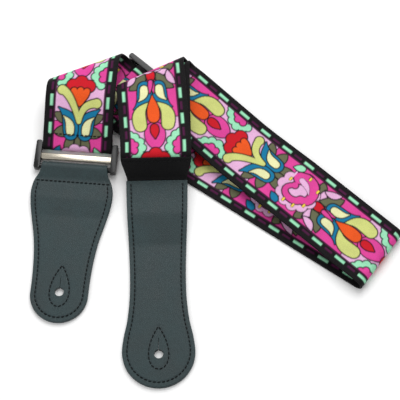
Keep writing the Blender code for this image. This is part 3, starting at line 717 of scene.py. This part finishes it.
def edge_path(outline, length, from_top, top):
    radius = outline[0][1] - STITCH_INSET
    round_end = [(radius * cos(a), outline[0][1] - radius * sin(a)) for a in np.linspace(0, pi, 60)]
    side = [(half_width(outline, t) - STITCH_INSET, t) for t in np.arange(top, outline[0][1] + 1, -1.0)]
    path = side + round_end + [(-u, t) for u, t in reversed(side)]
    return [(u, length - t if from_top else t) for u, t in path]


def teardrop_path(hole, length, from_top, half=8.6, tip=19.0, below=10.5):
    points = []
    for a in np.linspace(0, 2 * pi, 120, endpoint=False):
        u = half * sin(a) * (0.5 - 0.5 * cos(a)) ** 0.42
        points.append((u, hole + (tip - below) / 2 + (below + tip) / 2 * cos(a)))
    return [(u, length - t if from_top else t) for u, t in points]


def shade_band(name, strip, start, end, material):
    """The ribbed end band over the webbing's rise: its near-black colour is painted shade, put where the
    webbing drops steeply into the neck leather.
    """
    offset = THICK / 2 + GAP + 0.4
    shape = section(WIDTH / 2, 0.8, 60)
    rows = int((end - start) / 0.4)
    s = np.linspace(start, end, rows)[:, None]
    u, h = shape[:, 0][None], shape[:, 1][None]
    ribs = 0.05 * np.sin(s * 2 * pi / 1.6) * np.sign(h)
    wide = gathered(s) / (WIDTH / 2)
    points = to_row(strip.points(u * wide, s + 0 * u, offset + h * 0.9 + ribs)).reshape(-1, 3)
    count = len(shape)
    caps = [tuple(range(count)), tuple(range(rows * count - 1, (rows - 1) * count - 1, -1))]
    faces = ring_faces(rows, count) + caps
    obj = mesh_of(name, points, faces, material)
    uu, sv = np.broadcast_arrays(u, s)
    set_vectors(obj.data, "flat", np.stack([uu, sv, 0 * uu], -1).reshape(-1, 3))
    clean(obj)
    return obj


def rounded_copy(name, node, width, material):
    """A copy of a hard CAD piece with its edges rounded."""
    obj = link(name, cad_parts[node].data.copy())
    work = bmesh.new()
    work.from_mesh(obj.data)
    bmesh.ops.remove_doubles(work, verts=work.verts, dist=2e-5)
    bmesh.ops.dissolve_limit(work, angle_limit=radians(3), verts=work.verts, edges=work.edges)
    work.to_mesh(obj.data)
    work.free()
    edge = obj.modifiers.new("edge", "BEVEL")
    edge.width, edge.segments, edge.limit_method, edge.angle_limit = width * MM, 3, "ANGLE", radians(35)
    edge.use_clamp_overlap = True
    obj.data.materials.clear()
    obj.data.materials.append(material)
    apply_modifiers(obj)
    return obj


# ---- Materials ------------------------------------------------------------------------------------

class Nodes:
    """A small helper for building a material's nodes."""

    def __init__(self, name):
        self.material = bpy.data.materials.new(name)
        self.material.use_nodes = True
        self.tree = self.material.node_tree
        self.shader = self.tree.nodes["Principled BSDF"]

    def add(self, kind, **settings):
        node = self.tree.nodes.new(kind)
        for key, value in settings.items():
            if key in node.inputs:
                node.inputs[key].default_value = value
            else:
                setattr(node, key, value)
        return node

    def join(self, source, target):
        self.tree.links.new(source, target)

    def math(self, operation, a, b=0.5):
        node = self.add("ShaderNodeMath", operation=operation)
        for socket, value in zip(node.inputs, (a, b)):
            if isinstance(value, (int, float)):
                socket.default_value = value
            else:
                self.join(value, socket)
        return node.outputs[0]

    def bump(self, height, strength, distance):
        node = self.add("ShaderNodeBump", Strength=strength, Distance=distance)
        self.join(height, node.inputs["Height"])
        self.join(node.outputs[0], self.shader.inputs["Normal"])

    def set(self, **values):
        for key, value in values.items():
            self.shader.inputs[key.replace("_", " ")].default_value = value

    def multiply(self, colour, factor):
        node = self.add("ShaderNodeMix", data_type="RGBA", blend_type="MULTIPLY")
        node.inputs["Factor"].default_value = 1.0
        self.join(colour, node.inputs[6])
        self.join(factor, node.inputs[7])
        return node.outputs[2]

    def ramp(self, source, low, high, start=0.0, end=1.0):
        node = self.add("ShaderNodeMapRange")
        node.inputs["From Min"].default_value, node.inputs["From Max"].default_value = start, end
        node.inputs["To Min"].default_value, node.inputs["To Max"].default_value = low, high
        self.join(source, node.inputs["Value"])
        return node.outputs[0]


def weave(nodes, pitch):
    """Height of a plain weave whose yarns are pitch millimetres apart, in strap coordinates."""
    place = nodes.add("ShaderNodeAttribute", attribute_name="flat")
    axes = nodes.add("ShaderNodeSeparateXYZ")
    nodes.join(place.outputs["Vector"], axes.inputs[0])
    scale = pi / pitch
    across = nodes.math("SINE", nodes.math("MULTIPLY", axes.outputs[0], scale))
    along = nodes.math("SINE", nodes.math("MULTIPLY", axes.outputs[1], scale))
    return nodes.math("MULTIPLY", across, along), place.outputs["Vector"]


def printed_cloth():
    nodes = Nodes("printed_webbing")
    height, place = weave(nodes, 0.62)
    colour = nodes.add("ShaderNodeAttribute", attribute_name="print")
    cloud = nodes.add("ShaderNodeTexNoise", Scale=0.09, Detail=3.0)
    nodes.join(place, cloud.inputs["Vector"])
    grain = nodes.add("ShaderNodeTexNoise", Scale=1.7, Detail=2.0)
    nodes.join(place, grain.inputs["Vector"])
    yarn = nodes.ramp(height, 0.90, 1.06, -1.0, 1.0)
    tone = nodes.math("MULTIPLY", yarn, nodes.ramp(cloud.outputs[0], 0.93, 1.06, 0.3, 0.7))
    tone = nodes.math("MULTIPLY", tone, nodes.ramp(grain.outputs[0], 0.90, 1.08, 0.3, 0.7))
    nodes.join(nodes.multiply(colour.outputs["Color"], tone), nodes.shader.inputs["Base Color"])
    nodes.join(nodes.ramp(grain.outputs[0], 0.62, 0.85, 0.3, 0.7), nodes.shader.inputs["Roughness"])
    nodes.set(Sheen_Weight=0.02, Sheen_Roughness=0.45, Specular_IOR_Level=0.16)
    nodes.bump(nodes.math("ADD", height, grain.outputs[0]), 0.35, 0.00012)
    return nodes.material


def plain_cloth(name, colour, pitch, sheen=0.3):
    nodes = Nodes(name)
    height, place = weave(nodes, pitch)
    grain = nodes.add("ShaderNodeTexNoise", Scale=1.2, Detail=3.0)
    nodes.join(place, grain.inputs["Vector"])
    base = nodes.add("ShaderNodeRGB")
    base.outputs[0].default_value = (*colour, 1)
    tone = nodes.math("MULTIPLY", nodes.ramp(height, 0.7, 1.25, -1, 1),
                      nodes.ramp(grain.outputs[0], 0.8, 1.2, 0.3, 0.7))
    nodes.join(nodes.multiply(base.outputs[0], tone), nodes.shader.inputs["Base Color"])
    nodes.join(nodes.ramp(grain.outputs[0], 0.7, 0.95, 0.3, 0.7), nodes.shader.inputs["Roughness"])
    nodes.set(Sheen_Weight=sheen, Sheen_Roughness=0.5, Specular_IOR_Level=0.2)
    nodes.bump(height, 0.5, 0.0002)
    return nodes.material


def thread_cloth():
    nodes = Nodes("black_thread")
    place = nodes.add("ShaderNodeTexCoord")
    twist = nodes.add("ShaderNodeTexWave", Scale=900.0, Distortion=1.5, Detail=1.0,
                      bands_direction="DIAGONAL")
    nodes.join(place.outputs["Object"], twist.inputs["Vector"])
    base = nodes.add("ShaderNodeRGB")
    base.outputs[0].default_value = (0.002, 0.0025, 0.003, 1)
    nodes.join(nodes.multiply(base.outputs[0], nodes.ramp(twist.outputs["Fac"], 0.6, 1.4)),
               nodes.shader.inputs["Base Color"])
    nodes.join(nodes.ramp(twist.outputs["Fac"], 0.5, 0.75), nodes.shader.inputs["Roughness"])
    nodes.set(Specular_IOR_Level=0.2)
    nodes.bump(twist.outputs["Fac"], 0.4, 0.0001)
    return nodes.material


def grained_leather():
    nodes = Nodes("black_leather")
    place = nodes.add("ShaderNodeTexCoord").outputs["Object"]
    cells = nodes.add("ShaderNodeTexVoronoi", feature="DISTANCE_TO_EDGE", Scale=900.0, Randomness=1.0)
    fine = nodes.add("ShaderNodeTexNoise", Scale=2600.0, Detail=3.0)
    broad = nodes.add("ShaderNodeTexNoise", Scale=38.0, Detail=4.0, Roughness=0.6)
    for node in (cells, fine, broad):
        nodes.join(place, node.inputs["Vector"])
    crease = nodes.ramp(cells.outputs["Distance"], 0.0, 1.0, 0.0, 0.22)
    height = nodes.math("ADD", crease, nodes.math("MULTIPLY", fine.outputs[0], 0.35))
    base = nodes.add("ShaderNodeRGB")
    base.outputs[0].default_value = (0.014, 0.032, 0.035, 1)
    tone = nodes.math("MULTIPLY", nodes.ramp(crease, 0.72, 1.08),
                      nodes.ramp(broad.outputs[0], 0.8, 1.25, 0.3, 0.7))
    nodes.join(nodes.multiply(base.outputs[0], tone), nodes.shader.inputs["Base Color"])
    rough = nodes.math("ADD", nodes.ramp(broad.outputs[0], 0.40, 0.54, 0.3, 0.7),
                       nodes.ramp(crease, 0.12, 0.0))
    nodes.join(rough, nodes.shader.inputs["Roughness"])
    nodes.set(Specular_IOR_Level=0.35, Sheen_Weight=0.04, Sheen_Roughness=0.6)
    nodes.bump(height, 0.35, 0.00016)
    return nodes.material


def moulded_plastic():
    nodes = Nodes("black_plastic")
    place = nodes.add("ShaderNodeTexCoord").outputs["Object"]
    skin = nodes.add("ShaderNodeTexNoise", Scale=700.0, Detail=3.0)
    wear = nodes.add("ShaderNodeTexNoise", Scale=60.0, Detail=4.0)
    for node in (skin, wear):
        nodes.join(place, node.inputs["Vector"])
    base = nodes.add("ShaderNodeRGB")
    base.outputs[0].default_value = (0.004, 0.0045, 0.005, 1)
    nodes.join(nodes.multiply(base.outputs[0], nodes.ramp(wear.outputs[0], 0.8, 1.3, 0.3, 0.7)),
               nodes.shader.inputs["Base Color"])
    nodes.join(nodes.ramp(wear.outputs[0], 0.20, 0.36, 0.3, 0.7), nodes.shader.inputs["Roughness"])
    nodes.set(Specular_IOR_Level=0.35)
    nodes.bump(skin.outputs[0], 0.12, 0.0001)
    return nodes.material


def bright_steel():
    nodes = Nodes("nickel_steel")
    place = nodes.add("ShaderNodeTexCoord").outputs["Object"]
    stretch = nodes.add("ShaderNodeMapping")
    stretch.inputs["Scale"].default_value = (20.0, 1600.0, 1600.0)
    nodes.join(place, stretch.inputs["Vector"])
    brushed = nodes.add("ShaderNodeTexNoise", Scale=1.0, Detail=3.0)
    nodes.join(stretch.outputs[0], brushed.inputs["Vector"])
    base = nodes.add("ShaderNodeRGB")
    base.outputs[0].default_value = (0.46, 0.42, 0.35, 1)
    nodes.join(nodes.multiply(base.outputs[0], nodes.ramp(brushed.outputs[0], 0.85, 1.08, 0.3, 0.7)),
               nodes.shader.inputs["Base Color"])
    nodes.join(nodes.ramp(brushed.outputs[0], 0.16, 0.36, 0.3, 0.7), nodes.shader.inputs["Roughness"])
    nodes.set(Metallic=1.0)
    nodes.bump(brushed.outputs[0], 0.1, 0.00005)
    return nodes.material


# ---- Assembly -------------------------------------------------------------------------------------

def nearest_s(strip, low, high, x, y, face=1):
    """The s whose centre point lies nearest to a place given in the layout."""
    s = np.linspace(low, high, 4000)
    points = strip.points(0, s, face * THICK / 2)
    return float(s[np.argmin(np.hypot(points[:, 0] - x, points[:, 1] - y))])


def put(obj, body, node):
    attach(obj, body)
    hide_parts(node)
    return obj


def build_webbing(cloth, thread, shade_band_cloth):
    tile = print_tile()
    outer, outer_end = outer_webbing()
    short, short_start, slide_s, short_end = short_webbing()
    slide_point, slide_along, _ = short.frame(slide_s)
    heading = degrees(atan2(slide_along[1], slide_along[0]))
    main, crest, fold_end, wrap, main_end = long_webbing(slide_point, heading)
    half = WIDTH / 2

    front_phase = 3 + nearest_s(outer, 10, 80, -45.0, 77.2)
    short_phase = 49 + nearest_s(short, 10, 52, -96.0, 88.6)
    band_phase = -nearest_s(main, crest + 20, fold_end, -12.9, 91.8, -1)
    floor_phase = 45 + nearest_s(main, fold_end + 20, wrap - 60, -11.4, 43.3)

    split = wrap - 78
    front = webbing("front_webbing_print", outer, -SANDWICH, outer_end, front_phase, 0, tile, cloth, True)
    short_piece = webbing("short_webbing_print", short, short_start, short_end, short_phase, 20, tile, cloth)
    band = webbing("long_webbing_print", main, -SANDWICH, split, floor_phase, band_phase, tile, cloth, True)
    tip = webbing("long_webbing_end_print", main, split, main_end, floor_phase, band_phase, tile, cloth)
    put(front, "strap", "front_webbing")
    put(short_piece, "strap", "short_webbing")
    put(band, "strap", "long_webbing")
    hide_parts("long_webbing")
    tuple(to_row(main.points(0, split + 6)))
    tuple(to_row(main.points(0, wrap - 16)))
    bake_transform(tip)

    # Painted shade: a near-black band over the webbing where it drops steeply into the neck leather stands in
    # for the deep shade there.
    end_shade_band = shade_band("neck_end_painted_shade_band", outer, 0.6, 23.0, shade_band_cloth)
    put(end_shade_band, "strap", "neck_end_tape")
    shade_band_top = THICK / 2 + GAP + 0.4
    seams = [
        ("tape_stitch", "strap", outer, [(-half + 2, 20.5), (half - 2, 20.5)], shade_band_top + 0.3),
        ("outer_hem_stitch", "strap", outer,
         [(-half + 3, outer_end - 5), (half - 3, outer_end - 5)], -THICK / 2),
        ("ring_loop_stitch", "strap", short, [(-half + 2, 8.5), (half - 2, 8.5)], THICK / 2),
        ("slide_loop_stitch", "slide", main,
         [(-half + 2, main_end - 3), (half - 2, main_end - 3)], -THICK / 2),
    ]
    for node, body, strip, path, base in seams:
        put(stitches(node + "es", strip, path, base, thread), body, node)


def build_leather(hide, thread):
    neck = neck_front()
    neck_back = Strip([], (*NECK_TOP, neck_height(0)), NECK_HEADING + 180)
    bottom = NECK_LENGTH - 0.01
    front = leather("neck_leather_front_leaf", neck, NECK_OUTLINE, NECK_LENGTH, True, 0.0,
                    bottom, hide, NECK_HOLE, 1)
    back = leather("neck_leather_back_leaf", neck_back, NECK_OUTLINE, NECK_LENGTH, True, 0.0,
                   bottom, hide, NECK_HOLE, 0)
    put(front, "strap", "neck_leather_front")
    put(back, "strap", "neck_leather_back")
    top = LEATHER / 2
    path = edge_path(NECK_OUTLINE, NECK_LENGTH, True, NECK_LENGTH - 2)
    put(stitches("neck_edge_stitches", neck, path, top - 0.16, thread), "strap", "neck_edge_stitch")
    path = teardrop_path(NECK_HOLE, NECK_LENGTH, True)
    put(stitches("neck_button_stitches", neck, path, top - 0.16, thread, True), "strap", "neck_button_stitch")

    tail, flap_end = tail_front()
    point, along, _ = tail.frame(1.0)
    start = point - along
    tail_back = Strip([], (start[0], start[1], LEATHER / 2), TAIL_HEADING)
    cross = TAIL_LENGTH - 13
    front = leather("tail_leather_front_leaf", tail, TAIL_OUTLINE, TAIL_LENGTH, False, 0.01, flap_end, hide,
                    TAIL_HOLE, 1, (cross,))
    back = leather("tail_leather_back_leaf", tail_back, TAIL_OUTLINE, TAIL_LENGTH, False, 0.01,
                   TAIL_LENGTH - 14, hide, TAIL_HOLE, 0)
    put(front, "tail_end", "tail_leather_front")
    put(back, "tail_end", "tail_leather_back")
    path = edge_path(TAIL_OUTLINE, TAIL_LENGTH, False, cross - 1.5)
    put(stitches("tail_edge_stitches", tail, path, top - 0.16, thread), "tail_end", "tail_edge_stitch")
    path = teardrop_path(TAIL_HOLE, TAIL_LENGTH, False)
    put(stitches("tail_button_stitches", tail, path, top - 0.16, thread, True),
        "tail_end", "tail_button_stitch")
    half = half_width(TAIL_OUTLINE, cross) - 1.2
    put(stitches("tail_cross_stitches", tail, [(-half, cross), (half, cross)], top - 0.16, thread),
        "tail_end", "tail_cross_stitch")


def build_hardware(plastic, steel):
    put(rounded_copy("ring_frame_moulded", "ring_frame", 0.55, plastic), "ring", "ring_frame")
    put(rounded_copy("ring_cross_bar_plated", "ring_cross_bar", 0.3, steel), "ring", "ring_cross_bar")
    put(rounded_copy("slide_frame_moulded", "slide_frame", 0.35, plastic), "slide", "slide_frame")


def build_stage():
    floor = mesh_of("floor", [(-3, -3, -0.0002), (3, -3, -0.0002), (3, 3, -0.0002), (-3, 3, -0.0002)],
                    [(0, 1, 2, 3)], bpy.data.materials.new("floor"))
    material = floor.data.materials[0]
    material.use_nodes = True
    shader = material.node_tree.nodes["Principled BSDF"]
    shader.inputs["Base Color"].default_value = (0.97, 0.97, 0.97, 1)
    shader.inputs["Roughness"].default_value = 0.9
    world = bpy.data.worlds.new("studio")
    bpy.context.scene.world = world
    world.use_nodes = True
    world.node_tree.nodes["Background"].inputs[0].default_value = (1, 1, 1, 1)
    world.node_tree.nodes["Background"].inputs[1].default_value = 0.6
    area_light("key", (0.10, 0.75, 1.05), 1.1, 12.0)
    area_light("fill", (-0.9, -0.35, 1.0), 1.0, 2.5)


def area_light(name, place, size, power):
    light = bpy.data.lights.new(name, "AREA")
    light.shape, light.size, light.energy = "DISK", size, power
    obj = bpy.data.objects.new(name, light)
    bpy.context.scene.collection.objects.link(obj)
    obj.location = place
    obj.rotation_euler = (-Vector(place)).to_track_quat("-Z", "Y").to_euler()


def build_camera():
    """Above the strap's near side, looking down at 68 degrees."""
    target = Vector(((-9.3 - ORIGIN[0]) * MM, (9.2 - ORIGIN[1]) * MM, 0.0))
    rise, distance = radians(68), 0.85
    camera = bpy.data.cameras.new("camera")
    camera.sensor_width, camera.lens = 36.0, 107.1
    obj = bpy.data.objects.new("camera", camera)
    bpy.context.scene.collection.objects.link(obj)
    obj.location = target + Vector((0, -cos(rise), sin(rise))) * distance
    obj.rotation_euler = (target - obj.location).to_track_quat("-Z", "Y").to_euler()
    bpy.context.scene.camera = obj


def main():
    thread = thread_cloth()
    # The near-black colour given to the end band is painted shade.
    build_webbing(printed_cloth(), thread, plain_cloth("black_painted_shade_band", (0.004, 0.004, 0.0045), 0.8, 0.02))
    build_leather(grained_leather(), thread)
    build_hardware(moulded_plastic(), bright_steel())
    build_stage()
    build_camera()
    bpy.context.scene.view_settings.view_transform = "Standard"
    bpy.context.view_layer.update()


main()
